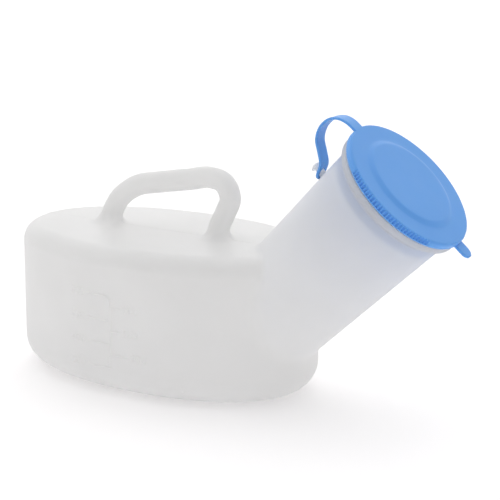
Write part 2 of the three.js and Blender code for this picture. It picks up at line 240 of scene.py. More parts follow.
class Marks:
    """The scale on the front wall, as strokes in x and z with a width and a relief."""

    reach = 1.4

    def __init__(self):
        self.strokes = []
        top = MARK_BOTTOM + 3 * MARK_STEP
        bend = circle_arc((-2.2, top - 2.2), 2.7, 0, 90, 8)
        self.draw([(0.5, MARK_BOTTOM), *bend, (-LONG_LENGTH, top + 0.5)])
        for i in range(4):
            z = MARK_BOTTOM + i * MARK_STEP
            if i < 3:
                self.draw([(0.2, z), (-LONG_LENGTH, z)])
            self.numeral(200 * (i + 1), -LONG_LENGTH - 12.2, z + (0.5 if i == 3 else 0))
        for i, length in enumerate((11.5, 6.5, 6.5)):
            z = MARK_BOTTOM + (i + 0.56) * MARK_STEP
            self.draw([(1.0, z), (length, z)])
            self.numeral(200 * (i + 1) + 100, length + 2.4, z)
        self.draw([GATE, (GATE[0] + 0.1, GATE[1])], GATE_WIDTH, GATE_RELIEF)
        self.strokes = np.array(self.strokes)
        ends = self.strokes[:, :4].reshape(-1, 2)
        self.low, self.high = ends.min(0) - self.reach, ends.max(0) + self.reach

    def draw(self, line, width=MARK_WIDTH, relief=MARK_RELIEF):
        for a, b in zip(line, line[1:]):
            self.strokes.append((*a, *b, width, relief))

    def numeral(self, number, x, z):
        """Figures with the first one starting at x, centred on z."""
        for k, figure in enumerate(str(number)):
            for stroke in NUMERALS[figure]:
                at = curve_through(stroke, 13) if len(stroke) > 2 else np.array(stroke)
                at = at * NUMERAL_HEIGHT + (x + k * NUMERAL_ADVANCE, z - NUMERAL_HEIGHT / 2)
                self.draw([tuple(a) for a in at], NUMERAL_WIDTH, NUMERAL_RELIEF)

    def near(self, p):
        """Of the points: those close to the marks, and for each its nearest stroke."""
        flat = p[:, [0, 2]]
        close = ((flat > self.low) & (flat < self.high)).all(1) & (p[:, 1] < -HALF_WIDTH / 2)
        close = np.flatnonzero(close)
        start, run = self.strokes[:, :2], self.strokes[:, 2:4] - self.strokes[:, :2]
        apart, stroke = np.zeros((len(close), 2)), np.zeros(len(close), int)
        for part in np.array_split(np.arange(len(close)), len(close) // 20000 + 1):
            q = flat[close[part]][:, None] - start
            t = np.clip((q * run).sum(2) / (run * run).sum(1), 0, 1)
            away = q - t[..., None] * run
            nearest = (away**2).sum(2).argmin(1)
            apart[part] = away[np.arange(len(part)), nearest]
            stroke[part] = nearest
        return close, apart, stroke

    def relief(self, p):
        """How far the wall stands out at each point, with the gradient."""
        close, apart, stroke = self.near(p)
        width, relief = self.strokes[stroke, 4], self.strokes[stroke, 5]
        height, slope = np.zeros(len(p)), np.zeros((len(p), 3))
        height[close] = relief * np.exp(-(apart**2).sum(1) / width**2)
        steep = (-2 * height[close] / width**2)[:, None] * apart
        slope[close, 0], slope[close, 2] = steep[:, 0], steep[:, 1]
        return height, slope

    def distance(self, p):
        close, apart, _ = self.near(p)
        far = np.full(len(p), 99.0)
        far[close] = np.hypot(apart[:, 0], apart[:, 1])
        return far


# ------------------------------------------------------------------ distance field


class Field:
    """The bottle's signed distance, with its gradient, in mm."""

    step = 1.0

    def __init__(self):
        turn = np.linspace(0, math.pi / 2, 1400)
        cos, sin = np.clip(np.cos(turn), 0, 1), np.clip(np.sin(turn), 0, 1)
        on = np.stack(
            [HALF_LENGTH * cos ** (2 / OVAL_POWER), HALF_WIDTH * sin ** (2 / OVAL_POWER)], 1
        )
        out = np.stack(
            [
                (on[:, 0] / HALF_LENGTH) ** (OVAL_POWER - 1) / HALF_LENGTH,
                (on[:, 1] / HALF_WIDTH) ** (OVAL_POWER - 1) / HALF_WIDTH,
            ],
            1,
        )
        out /= np.linalg.norm(out, axis=1)[:, None]
        self.xs = np.arange(0, HALF_LENGTH + 30, self.step)
        self.ys = np.arange(0, HALF_WIDTH + 30, self.step)
        table = np.zeros((len(self.xs), len(self.ys), 3))
        for i, x in enumerate(self.xs):
            from_x, from_y = x - on[:, 0], self.ys[:, None] - on[:, 1]
            near = (from_x**2 + from_y**2).argmin(1)
            table[i, :, 1:] = out[near]
            table[i, :, 0] = (
                from_x[near] * out[near, 0]
                + from_y[np.arange(len(near)), near] * out[near, 1]
            )
        self.table = table
        line = curve_through(HANDLE_LINE, 90)
        self.handle_line = np.stack([line[:, 0], 0 * line[:, 0], line[:, 1]], 1)
        self.marks = Marks()

    def oval(self, x, y):
        """Distance from the tank's oval outline, and the direction away from it."""
        u = np.clip(np.abs(x) / self.step, 0, len(self.xs) - 1.001)
        v = np.clip(np.abs(y) / self.step, 0, len(self.ys) - 1.001)
        i, j = u.astype(int), v.astype(int)
        fu, fv = (u - i)[:, None], (v - j)[:, None]
        t = self.table
        value = (t[i, j] * (1 - fu) + t[i + 1, j] * fu) * (1 - fv) + (
            t[i, j + 1] * (1 - fu) + t[i + 1, j + 1] * fu
        ) * fv
        away = value[:, 1:] * np.stack([np.sign(x), np.sign(y)], 1)
        away /= np.maximum(np.linalg.norm(away, axis=1), 1e-6)[:, None]
        return value[:, 0], away

    def rounded(self, side, away, height, up, radius):
        """The edge between the oval's wall and a flat face, rounded to radius."""
        w = np.stack([side, height], 1) + radius
        out = np.maximum(w, 0)
        length = np.hypot(out[:, 0], out[:, 1])
        share = out / np.maximum(length, 1e-9)[:, None]
        deep = length < 1e-9
        share[deep, 0] = w[deep, 0] > w[deep, 1]
        share[deep, 1] = ~(w[deep, 0] > w[deep, 1])
        d = np.minimum(w.max(1), 0) + length - radius
        g = np.zeros((len(d), 3))
        g[:, :2] = share[:, :1] * away
        g[:, 2] = share[:, 1] * up
        return d, g

    def tank(self, p):
        side, away = self.oval(p[:, 0], p[:, 1])
        top = self.rounded(side, away, p[:, 2] - DECK, 1, SHOULDER)
        low = self.rounded(side, away, -p[:, 2], -1, FOOT)
        pick = top[0] > low[0]
        return np.where(pick, top[0], low[0]), np.where(pick[:, None], top[1], low[1])

    def neck(self, p):
        q = p - NECK_BASE
        station = q @ NECK_AXIS
        radial = q - station[:, None] * NECK_AXIS
        r = np.maximum(np.linalg.norm(radial, axis=1), 1e-6)
        lean = 1 / math.hypot(1, NECK_TAPER)
        d = (r - neck_radius(station)) * lean
        g = (radial / r[:, None] - NECK_TAPER * NECK_AXIS) * lean
        end = NECK_START - station
        pick = end > d
        return np.where(pick, end, d), np.where(pick[:, None], -NECK_AXIS, g)

    def handle(self, p):
        line = self.handle_line
        low, high = line.min(0) - 22, line.max(0) + 22
        d = np.full(len(p), 40.0)
        g = np.tile([0.0, 0.0, 1.0], (len(p), 1))
        close = np.flatnonzero(((p > low) & (p < high)).all(1))
        start, run = line[:-1], np.diff(line, axis=0)
        for part in np.array_split(close, max(1, len(close) // 20000)):
            q = p[part][:, None] - start
            t = np.clip((q * run).sum(2) / (run * run).sum(1), 0, 1)
            apart = q - t[..., None] * run
            far = np.linalg.norm(apart, axis=2)
            near = far.argmin(1)
            rows = np.arange(len(part))
            d[part] = far[rows, near] - HANDLE_RADIUS
            g[part] = apart[rows, near] / np.maximum(far[rows, near], 1e-6)[:, None]
        return d, g

    @staticmethod
    def blended(a, b, width):
        """The union of two fields, with a fillet about width across."""
        share = np.clip(0.5 + 0.5 * (b[0] - a[0]) / width, 0, 1)
        d = b[0] + (a[0] - b[0]) * share - width * share * (1 - share)
        return d, b[1] + (a[1] - b[1]) * share[:, None]

    def plain(self, p):
        both = self.blended(self.tank(p), self.neck(p), NECK_FILLET)
        return self.blended(both, self.handle(p), HANDLE_FILLET)

    def outer(self, p):
        """The outside, with its raised marks and the mould's parting line along y = 0."""
        d, g = self.plain(p)
        ridge = PARTING_HEIGHT * np.exp(-((p[:, 1] / PARTING_WIDTH) ** 2))
        ridge *= np.clip(p[:, 2] / PARTING_FADE, 0, 1)
        g = g.copy()
        g[:, 1] += 2 * p[:, 1] / PARTING_WIDTH**2 * ridge
        height, slope = self.marks.relief(p)
        return d - ridge - height, g - slope

    def inner(self, p):
        d, g = self.plain(p)
        return d + WALL, g


def onto(field, points, rounds=4):
    """The points moved onto the field's zero surface, and the surface's normals there."""
    for _ in range(rounds):
        d, g = field(points)
        points = points - (d / np.maximum((g * g).sum(1), 0.05))[:, None] * g
    g = field(points)[1]
    return points, g / np.linalg.norm(g, axis=1)[:, None]


def surface_net(field, low, high, step):
    """A quad mesh of the field's zero surface in a box, as points and quads."""
    axes = [np.arange(a, b + step, step) for a, b in zip(low, high)]
    shape = [len(a) for a in axes]
    grid = np.stack(np.meshgrid(*axes, indexing="ij"), -1).reshape(-1, 3)
    d = np.concatenate([field(part)[0] for part in np.array_split(grid, 40)]).reshape(shape)
    inside = d < 0
    cells = [n - 1 for n in shape]
    corners = [(i, j, k) for i in (0, 1) for j in (0, 1) for k in (0, 1)]

    def shifted(a, offset):
        return a[tuple(slice(o, o + n) for o, n in zip(offset, cells))]

    filled = sum(shifted(inside, c).astype(int) for c in corners)
    active = (filled > 0) & (filled < 8)
    number = np.full(cells, -1)
    number[active] = np.arange(active.sum())
    total, count = np.zeros((active.sum(), 3)), np.zeros(active.sum())
    for axis in range(3):
        for c in corners:
            if c[axis]:
                continue
            e = list(c)
            e[axis] = 1
            a, b = shifted(d, c)[active], shifted(d, e)[active]
            crossed = (a < 0) != (b < 0)
            at = np.where(crossed, a / np.where(crossed, a - b, 1), 0)
            place = np.tile(np.array(c, float), (len(a), 1))
            place[:, axis] += at
            total += place * crossed[:, None]
            count += crossed
    base = np.argwhere(active)
    points = (base + total / count[:, None]) * step + np.array(low)
    quads = []
    for axis in range(3):
        a = inside[tuple(slice(0, -1) if k == axis else slice(1, -1) for k in range(3))]
        b = inside[tuple(slice(1, None) if k == axis else slice(1, -1) for k in range(3))]
        where = np.argwhere(a != b)
        u, v = [(1, 2), (2, 0), (0, 1)][axis]
        where[:, u] += 1
        where[:, v] += 1
        flip = b[tuple((where - np.array([k != axis for k in range(3)])).T)]
        ring = []
        for du, dv in ((1, 1), (0, 1), (0, 0), (1, 0)):
            cell = where.copy()
            cell[:, u] -= du
            cell[:, v] -= dv
            ring.append(number[tuple(cell.T)])
        ring = np.stack(ring, 1)
        ring[flip] = ring[flip][:, ::-1]
        quads.append(ring)
    return points, np.concatenate(quads)


def relaxed(points, quads, field, rounds):
    """Points evened out along the surface; those on an open edge stay."""
    a = quads.reshape(-1)
    b = np.roll(quads, -1, axis=1).reshape(-1)
    key = np.sort(np.stack([a, b], 1), axis=1)
    edges, uses = np.unique(key, axis=0, return_counts=True)
    fixed = np.zeros(len(points), bool)
    fixed[edges[uses == 1]] = True
    count = np.bincount(edges.reshape(-1), minlength=len(points))
    for _ in range(rounds):
        total = np.zeros_like(points)
        for k in range(3):
            total[:, k] = np.bincount(
                edges[:, 0], points[edges[:, 1], k], len(points)
            ) + np.bincount(edges[:, 1], points[edges[:, 0], k], len(points))
        mean = total / np.maximum(count, 1)[:, None]
        moved = points + 0.6 * (mean - points)
        points = np.where(fixed[:, None], points, moved)
        points = onto(field, points, 2)[0]
    return points


def coordinates(bm):
    return np.array([v.co for v in bm.verts], float).reshape(-1, 3)


def settle(bm, field):
    """Puts a bmesh's points onto the field and returns the normals there."""
    points, normals = onto(field, coordinates(bm), 3)
    for v, p in zip(bm.verts, points):
        v.co = p
    return normals


def refined(bm, field, angle, shortest, rounds):
    """Splits edges across which the surface turns by more than angle, in degrees."""
    for _ in range(rounds):
        normals = settle(bm, field)
        bm.verts.index_update()
        pairs = np.array([(e.verts[0].index, e.verts[1].index) for e in bm.edges])
        points = coordinates(bm)
        turn = (normals[pairs[:, 0]] * normals[pairs[:, 1]]).sum(1)
        length = np.linalg.norm(points[pairs[:, 0]] - points[pairs[:, 1]], axis=1)
        split = (turn < math.cos(math.radians(angle))) & (length > shortest)
        bm.edges.ensure_lookup_table()
        chosen = [bm.edges[i] for i in np.flatnonzero(split)]
        if not chosen:
            break
        bmesh.ops.subdivide_edges(bm, edges=chosen, cuts=1)
        bmesh.ops.triangulate(bm, faces=[f for f in bm.faces if len(f.verts) > 4])
    settle(bm, field)


def refined_near(bm, marks):
    """Splits the edges by the marks until they are short beside the marks' width."""
    for longest, reach in ((1.4, 2.2), (0.8, 1.5), (0.45, 1.0), (0.3, 0.75)):
        points = coordinates(bm)
        bm.verts.index_update()
        far = marks.distance(points)
        chosen = [
            e
            for e in bm.edges
            if min(far[v.index] for v in e.verts) < reach and e.calc_length() > longest
        ]
        bmesh.ops.subdivide_edges(bm, edges=chosen, cuts=1)
        bmesh.ops.triangulate(bm, faces=[f for f in bm.faces if len(f.verts) > 4])


def field_skin(field, step, with_ridge):
    """One side of the bottle up to the neck's cut, as a bmesh in mm."""
    low = (-HALF_LENGTH - 5, -HALF_WIDTH - 5, -5)
    high = (NECK_BASE[0] + (NECK_CUT + 14) * NECK_AXIS[0] + 30, HALF_WIDTH + 5, 126)
    points, quads = surface_net(field, low, high, step)
    points = onto(field, points, 5)[0]
    points = relaxed(points, quads, field, 4)
    bm = bmesh.new()
    verts = [bm.verts.new(p) for p in points]
    for q in quads:
        bm.faces.new([verts[i] for i in q])
    bmesh.ops.bisect_plane(
        bm,
        geom=bm.verts[:] + bm.edges[:] + bm.faces[:],
        plane_co=Vector(NECK_BASE + NECK_CUT * NECK_AXIS),
        plane_no=Vector(NECK_AXIS),
        clear_outer=True,
        dist=0.05,
    )
    if with_ridge:
        for y in (-0.9, -0.5, -0.22, 0.0, 0.22, 0.5, 0.9):
            bmesh.ops.bisect_plane(
                bm,
                geom=bm.verts[:] + bm.edges[:] + bm.faces[:],
                plane_co=(0, y, 0),
                plane_no=(0, 1, 0),
                dist=0.02,
            )
    return bm


# ------------------------------------------------------------------ meshes from rings


class Skin:
    """Collects rings of points and the faces between them."""

    def __init__(self):
        self.points, self.faces = [], []

    def add(self, points):
        start = len(self.points)
        self.points.extend(np.asarray(points, float).tolist())
        return list(range(start, len(self.points)))

    def join(self, a, b):
        """Faces between two closed rings of point numbers, of any two counts."""
        if len(a) == len(b):
            for i in range(len(a)):
                j = (i + 1) % len(a)
                self.faces.append((a[i], a[j], b[j], b[i]))
            return
        i = j = 0
        while i < len(a) or j < len(b):
            if j >= len(b) or (i < len(a) and (i + 1) / len(a) <= (j + 1) / len(b)):
                self.faces.append((a[i % len(a)], a[(i + 1) % len(a)], b[j % len(b)]))
                i += 1
            else:
                self.faces.append((a[i % len(a)], b[(j + 1) % len(b)], b[j % len(b)]))
                j += 1

    def cap(self, ring, point):
        centre = self.add([point])[0]
        for i in range(len(ring)):
            self.faces.append((ring[i], ring[(i + 1) % len(ring)], centre))


def zipped(skin, a, b, angle_a, angle_b):
    """Faces between two closed rings whose points are sorted by angle."""
    i = j = 0
    full = 2 * math.pi
    while i < len(a) or j < len(b):
        next_a = angle_a[(i + 1) % len(a)] + full * ((i + 1) // len(a)) if i < len(a) else 99
        next_b = angle_b[(j + 1) % len(b)] + full * ((j + 1) // len(b)) if j < len(b) else 99
        if next_a <= next_b:
            skin.faces.append((a[i % len(a)], a[(i + 1) % len(a)], b[j % len(b)]))
            i += 1
        else:
            skin.faces.append((a[i % len(a)], b[(j + 1) % len(b)], b[j % len(b)]))
            j += 1


def piece(name, points, faces, material, sharp=None):
    """A smooth-shaded object from points in mm."""
    mesh = bpy.data.meshes.new(name)
    mesh.from_pydata((np.asarray(points, float) * MM).tolist(), [], faces)
    bm = bmesh.new()
    bm.from_mesh(mesh)
    bmesh.ops.recalc_face_normals(bm, faces=bm.faces)
    bm.to_mesh(mesh)
    bm.free()
    mesh.polygons.foreach_set("use_smooth", [True] * len(mesh.polygons))
    if sharp is not None:
        mesh.set_sharp_from_angle(angle=math.radians(sharp))
    mesh.materials.append(material)
    obj = bpy.data.objects.new(name, mesh)
    bpy.context.scene.collection.objects.link(obj)
    return obj


def open_ring(bm, field):
    """The bmesh's open edge at the neck's cut, as vertex numbers sorted by angle."""
    bm.verts.index_update()
    loose = {v for e in bm.edges if e.is_boundary for v in e.verts}
    points = np.array([v.co for v in loose])
    numbers = np.array([v.index for v in loose])
    angle = np.arctan2(points[:, 1], (points - NECK_BASE) @ NECK_UPPER)
    order = angle.argsort()
    return numbers[order].tolist(), angle[order]


# ------------------------------------------------------------------ the bottle


def mouth_profile():
    """[radius, station] pairs from the neck's cut over the mouth and back down inside."""
    first = NECK_CUT + 1.6
    outside = [(neck_radius(s), s) for s in np.linspace(first, NECK_END, 9)]
    rise = np.linspace(0, 1, 11)[1:]
    low = neck_radius(NECK_END)
    flare = [(low + FLARE_RISE * smooth(t), NECK_END + FLARE_LENGTH * t) for t in rise]
    collar = [(38.22, 169.6), (38.2, 170.9)]
    corner = circle_arc((37.4, 171.0), 0.8, 0, 90, 6)
    lip = [(36.9, 171.8), (36.4, 171.95), (36.2, 172.4), (36.2, 172.9)]
    top = circle_arc((35.0, 172.9), 1.2, 0, 180, 13)
    bore = [(33.8, s) for s in (172.4, 171.4, 170.4, 169.4)]
    back = [(33.75, 168.4), (33.65, 167.4), (33.6, 166.6)]
    inside = [(neck_radius(s) - WALL, s) for s in np.linspace(NECK_END, first, 9)]
    return [*outside, *flare, *collar, *corner, *lip, *top, *bore, *back, *inside]


def ring_angles():
    """Angles round the neck from -180 to 180 degrees, closer beside the parting line."""
    even = np.linspace(-math.pi, math.pi, 176, endpoint=False)
    ridge = np.array([0.0, 0.22, 0.5, 0.9]) / 35
    ridge = np.concatenate([-ridge[1:], ridge])
    keep = (np.abs(even) > 0.045) & (np.abs(even) < math.pi - 0.045)
    ends = np.concatenate([ridge[ridge >= 0] - math.pi, math.pi + ridge[ridge < 0]])
    return np.unique(np.concatenate([even[keep], ridge, ends]))


def ridged(angle, radius, station, line):
    """Neck points with the parting line standing proud where line is 1."""
    y = radius * np.sin(angle)
    proud = PARTING_HEIGHT * np.exp(-((y / PARTING_WIDTH) ** 2)) * line
    return neck_point(angle, radius + proud, station)


def make_bottle():
    field = Field()
    skin = Skin()
    angles = ring_angles()
    profile = mouth_profile()
    outer_top = max(range(len(profile)), key=lambda i: profile[i][1])
    last_bore = next(i for i in range(outer_top, len(profile)) if profile[i][1] < BORE_END)
    rings = []
    within = []
    for i, (radius, station) in enumerate(profile):
        line = 1.0 if i <= outer_top and station < 168 else 0.0
        rings.append(skin.add(ridged(angles, radius, np.array(station), line)))
        within += [i >= last_bore] * len(angles)
    for a, b in zip(rings, rings[1:]):
        skin.join(a, b)
    turned_count = len(skin.points)
    field_normals = []
    for side, step, ring, angle in (
        (field.outer, 2.0, rings[0], 7),
        (field.inner, 2.4, rings[-1], 12),
    ):
        bm = field_skin(side, step, side == field.outer)
        if side == field.outer:
            refined_near(bm, field.marks)
        refined(bm, side, angle, 0.45, 3)
        numbers, at = open_ring(bm, side)
        points, normals = onto(side, coordinates(bm), 2)
        start = len(skin.points)
        skin.points.extend(points.tolist())
        field_normals.append(normals if side == field.outer else -normals)
        within += [side == field.inner] * len(points)
        bm.verts.index_update()
        order = 1 if side == field.outer else -1
        for f in bm.faces:
            loop = [start + v.index for v in f.verts]
            skin.faces.append(tuple(loop[::order]))
        edge = [start + n for n in numbers]
        before = len(skin.faces)
        zipped(skin, edge, ring, at, angles)
        if side == field.inner:
            skin.faces[before:] = [f[::-1] for f in skin.faces[before:]]
        bm.free()
    return skin, turned_count, np.concatenate(field_normals), np.array(within)


def finish_bottle(material, lining):
    skin, turned_count, field_normals, within = make_bottle()
    obj = piece("bottle_shell", skin.points, skin.faces, material)
    mesh = obj.data
    mesh.materials.append(lining)
    for face in mesh.polygons:
        if within[list(face.vertices)].all():
            face.material_index = 1
    normals = np.zeros(len(mesh.vertices) * 3)
    mesh.vertices.foreach_get("normal", normals)
    normals = normals.reshape(-1, 3)
    flipped = (normals[turned_count:] * field_normals).sum(1).mean() < 0
    if flipped:
        mesh.flip_normals()
        normals = -normals
    normals[turned_count:] = field_normals
    mesh.normals_split_custom_set_from_vertices(normals)
    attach(obj, "bottle")
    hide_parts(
        "tank_wall",
        "tank_deck",
        "tank_floor",
        "neck_tube",
        "mouth_rim",
        "handle_grip",
        "handle_front_leg",
        "handle_rear_leg",
        "handle_front_foot",
        "handle_rear_foot",
        "volume_scale",
    )


# ------------------------------------------------------------------ lid

RIBS = 126
RIB_HEIGHT = 1.0
RIB_STEPS = 8
RIB_LOW = LID_BOTTOM + 0.95
RIB_FIRST, RIB_LAST = math.radians(54), math.radians(139)


def rib_share(angle, station):
    """How far a point of the skirt stands in from the rib tops: two arcs of ribs."""
    own = np.abs((angle + math.pi) % (2 * math.pi) - math.pi)
    fade = math.radians(2.5)
    inside = np.clip((own - RIB_FIRST) / fade, 0, 1) * np.clip((RIB_LAST - own) / fade, 0, 1)
    wave = 0.5 - 0.5 * np.cos(angle * RIBS)
    low = np.clip((station - RIB_LOW) / 0.25, 0, 1)
    return inside * low * wave**0.8


def make_lid(material):
    coarse = RIBS * 2
    fine = RIBS * RIB_STEPS
    flange = LID_TOP
    panel = flange + PANEL_RISE
    slope = np.linspace(0, 1, 9)
    top = [(8.0, panel, 0), (16.0, panel, 0), (22.0, panel - 0.01, 0)]
    top += [(24.4 + 4.4 * t, panel - PANEL_RISE * smooth(t), 0) for t in slope]
    top += [(31.0, flange - 0.02, 0), (34.0, flange, 0), (36.2, flange, 0)]
    corner = circle_arc((LID_RADIUS - LID_EDGE, flange - LID_EDGE), LID_EDGE, 88, 4, 9)
    top += [(r, s, 0) for r, s in corner[:2]]
    top += [(r, s, 1) for r, s in corner[2:]]
    top += [(LID_RADIUS, s, 1) for s in (RIB_LOW + 0.3, RIB_LOW + 0.2, RIB_LOW + 0.1)]
    top += [(LID_RADIUS, RIB_LOW, 1)]
    lip = [(LID_RADIUS - 0.02, RIB_LOW - 0.1), (LID_RADIUS - 0.14, RIB_LOW - 0.22)]
    lip += [(LID_RADIUS - 0.5, LID_BOTTOM + 0.1), (LID_RADIUS - 0.7, LID_BOTTOM)]
    lip += [(37.7, LID_BOTTOM), (37.4, LID_BOTTOM + 0.1), (37.25, LID_BOTTOM + 0.5)]
    below = flange - LID_THICKNESS
    under = [(37.2, below - 0.35), (36.9, below - 0.1), (36.2, below), (34.2, below)]
    under += [(33.6, below - 0.2)]
    plug = [(33.4, below - 0.8), (33.35, 171), (33.4, 167.4), (33.42, 165.4), (33.36, 163.2)]
    plug += [(33.28, 161.4), (33.2, 160.4), (32.9, 159.7), (32.3, 159.2), (31.8, 159.15)]
    plug += [(31.45, 159.5), (31.5, 160.4), (31.7, 162.0)]
    inside = [(31.8, 164.5), (31.8, 170), (31.7, below - 0.9), (31.3, below - 0.2)]
    inside += [(30.5, below)]
    inside += [(29.4 - 3.4 * t, below + PANEL_RISE * smooth(t)) for t in slope]
    inside += [(18.0, panel - LID_THICKNESS), (8.0, panel - LID_THICKNESS)]
    profile = top + [(r, s, 0) for r, s in lip + under + plug + inside]

    skin = Skin()
    rings = []
    for radius, station, ribbed in profile:
        count = fine if ribbed else coarse
        angle = np.arange(count) * 2 * math.pi / count
        inward = RIB_HEIGHT * rib_share(angle, station) if ribbed else 0.0
        # the ribs fade out over the rounded top edge
        inward = inward * np.clip((flange - 0.05 - station) / 0.9, 0, 1)
        rings.append(skin.add(neck_point(angle + LID_TURN, radius - inward, station)))
    for a, b in zip(rings, rings[1:]):
        skin.join(a, b)
    skin.cap(rings[0], NECK_BASE + panel * NECK_AXIS)
    skin.cap(rings[-1], NECK_BASE + (panel - LID_THICKNESS) * NECK_AXIS)
    obj = piece("lid_shell", skin.points, skin.faces, material, sharp=50)
    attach(obj, "lid")
    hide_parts("lid_panel", "lid_skirt", "lid_plug")


# ------------------------------------------------------------------ strips of plastic


class Ribbon:
    """Maps (along, across, up) onto a path in space with a width direction at each end."""

    def __init__(self, points, width_start, width_end, turn_over):
        step = 0.25
        length = np.linalg.norm(np.diff(points, axis=0), axis=1).sum()
        self.points = curve_through(points, int(length / step) + 1)
        run = np.linalg.norm(np.diff(self.points, axis=0), axis=1)
        self.length = run.sum()
        self.at = np.concatenate([[0], np.cumsum(run)])
        self.tangent = np.gradient(self.points, self.at, axis=0)
        self.tangent /= np.linalg.norm(self.tangent, axis=1)[:, None]
        share = np.clip(self.at / turn_over, 0, 1)[:, None]
        wide = (1 - share) * np.array(width_start) + share * np.array(width_end)
        wide -= (wide * self.tangent).sum(1)[:, None] * self.tangent
        self.wide = wide / np.linalg.norm(wide, axis=1)[:, None]
        self.up = np.cross(self.wide, self.tangent)

    def place(self, uvw):
        u, v, w = np.asarray(uvw, float).T
        inside = np.clip(u, 0, self.length)
        out = np.zeros((len(u), 3))
        for source, factor in (
            (self.points, 1.0),
            (self.tangent, u - inside),
            (self.wide, v),
            (self.up, w),
        ):
            for k in range(3):
                out[:, k] += factor * np.interp(inside, self.at, source[:, k])
        return out


def plate(flat, faces, thickness, edge, flush):
    """A flat mesh of (along, across) points made solid, with rounded edges.

    Its open edge is rounded by edge, except across the ends in flush, given as
    positions along, where it is cut straight."""
    flat = np.asarray(flat, float)
    count = {}
    for f in faces:
        for a, b in zip(f, f[1:] + f[:1]):
            count[(a, b)] = count.get((a, b), 0) + 1
    border = [e for e in count if (e[1], e[0]) not in count]
    normal = np.zeros_like(flat)
    for a, b in border:
        way = flat[b] - flat[a]
        out = np.array([way[1], -way[0]]) / max(np.hypot(*way), 1e-9)
        if any(abs(flat[a, 0] - x) < 1e-6 and abs(flat[b, 0] - x) < 1e-6 for x in flush):
            out = out * 0
        normal[a] += out
        normal[b] += out
    length = np.linalg.norm(normal, axis=1)
    normal /= np.maximum(length, 1e-9)[:, None]
    half = thickness / 2
    steps = [(edge * (1 - math.cos(t)), half - edge * (1 - math.sin(t))) for t in
             np.radians([90, 60, 30, 0])]
    layers = steps + [(inset, -w) for inset, w in steps[::-1]]
    points, out_faces = [], []
    inset, w = layers[0]
    for p, n in zip(flat, normal):
        points.append([*(p - n * inset), w])
    low = len(points)
    for p, n in zip(flat, normal):
        points.append([*(p - n * inset), -w])
    out_faces += [tuple(f) for f in faces]
    out_faces += [tuple(low + i for i in f[::-1]) for f in faces]
    rim = sorted({v for e in border for v in e})
    previous = {v: v for v in rim}
    for k, (inset, w) in enumerate(layers[1:], 1):
        if k == len(layers) - 1:
            current = {v: low + v for v in rim}
        else:
            current = {}
            for v in rim:
                current[v] = len(points)
                points.append([*(flat[v] - normal[v] * inset), w])
        for a, b in border:
            out_faces.append((previous[b], previous[a], current[a], current[b]))
        previous = current
    return np.array(points), out_faces


def across(width, count=9):
    return np.linspace(-width / 2, width / 2, count)


def strip_rows(start, end, width, step=0.8):
    """Rows of (along, across) points and the quads between them."""
    us = np.linspace(start, end, max(2, int(abs(end - start) / step) + 1))
    vs = across(width)
    flat = [(u, v) for u in us for v in vs]
    n = len(vs)
    faces = [
        (i * n + j, (i + 1) * n + j, (i + 1) * n + j + 1, i * n + j + 1)
        for i in range(len(us) - 1)
        for j in range(n - 1)
    ]
    return flat, faces


def strip_with_eyelet(start, centre, width, hole):
    """A strip from start that ends round an eyelet at centre."""
    flat, faces = strip_rows(start, centre - 5.5, width)
    half = width / 2
    last = list(range(len(flat) - len(across(width)), len(flat)))
    side = [centre - x for x in (4.4, 3.3, 2.2, 1.1)]
    turn = np.radians(np.linspace(90, -90, 25))
    outline = [(u, half) for u in side]
    outline += [(centre + half * math.cos(t), half * math.sin(t)) for t in turn]
    outline += [(u, -half) for u in side[::-1]]
    start_ring = len(flat)
    flat += outline
    loop = last + list(range(start_ring, len(flat)))
    rings = [loop]
    for share in (0.75, 0.5, 0.25, 0.0):
        ring = []
        for v in loop:
            p = np.array(flat[v]) - (centre, 0)
            near = p / np.hypot(*p) * hole
            q = near + (p - near) * share
            ring.append(len(flat))
            flat.append((centre + q[0], q[1]))
        rings.append(ring)
    for a, b in zip(rings, rings[1:]):
        for i in range(len(a)):
            j = (i + 1) % len(a)
            faces.append((a[i], b[i], b[j], a[j]))
    return flat, faces


def turned_right(flat, faces):
    """The faces, all turned the same way round as seen from above."""
    out = []
    for f in faces:
        edges = zip(f, f[1:] + f[:1])
        area = sum(flat[a][0] * flat[b][1] - flat[b][0] * flat[a][1] for a, b in edges)
        out.append(f if area > 0 else f[::-1])
    return out


def strap_ribbon():
    points = [(p[0], STRAP_SKEW * (p[0] - STRAP_LINE[-1][0]), p[1]) for p in STRAP_LINE]
    root = neck_point(np.array(LID_TURN), LID_RADIUS - 0.4, np.array(LID_TOP - 0.75))
    inside = neck_point(np.array(LID_TURN), LID_RADIUS - 3.0, np.array(LID_TOP - 0.8))
    points[0] = tuple(root)
    points.insert(0, tuple(inside))
    tangential = -math.sin(LID_TURN) * NECK_UPPER + math.cos(LID_TURN) * np.array([0, 1.0, 0])
    return Ribbon(np.array(points), tangential, (0, 1, 0), 18.0)


def make_strap(material):
    ribbon = strap_ribbon()
    x, z = ribbon.points[:, 0], ribbon.points[:, 2]
    # the two pieces meet past the top of the arch, where the strip crosses STRAP_SPLIT
    split = ribbon.at[np.abs(x - STRAP_SPLIT + 100 * (z < ARCH_LOW)).argmin()]
    flat, faces = strip_with_eyelet(split, ribbon.length, STRAP_WIDTH, EYELET_HOLE)
    faces = turned_right(flat, faces)
    points, faces = plate(flat, faces, STRAP_THICKNESS, STRAP_EDGE, [split])
    lower = piece("strap_lower", ribbon.place(points), faces, material, sharp=50)
    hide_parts("strap_leg", "strap_arch")
    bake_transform(lower)
    flat, faces = strip_rows(0.0, split, STRAP_WIDTH)
    faces = turned_right(flat, faces)
    points, faces = plate(flat, faces, STRAP_THICKNESS, STRAP_EDGE, [split, 0.0])
    upper = piece("strap_upper", ribbon.place(points), faces, material, sharp=50)
    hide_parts("strap_root")
    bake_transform(upper)


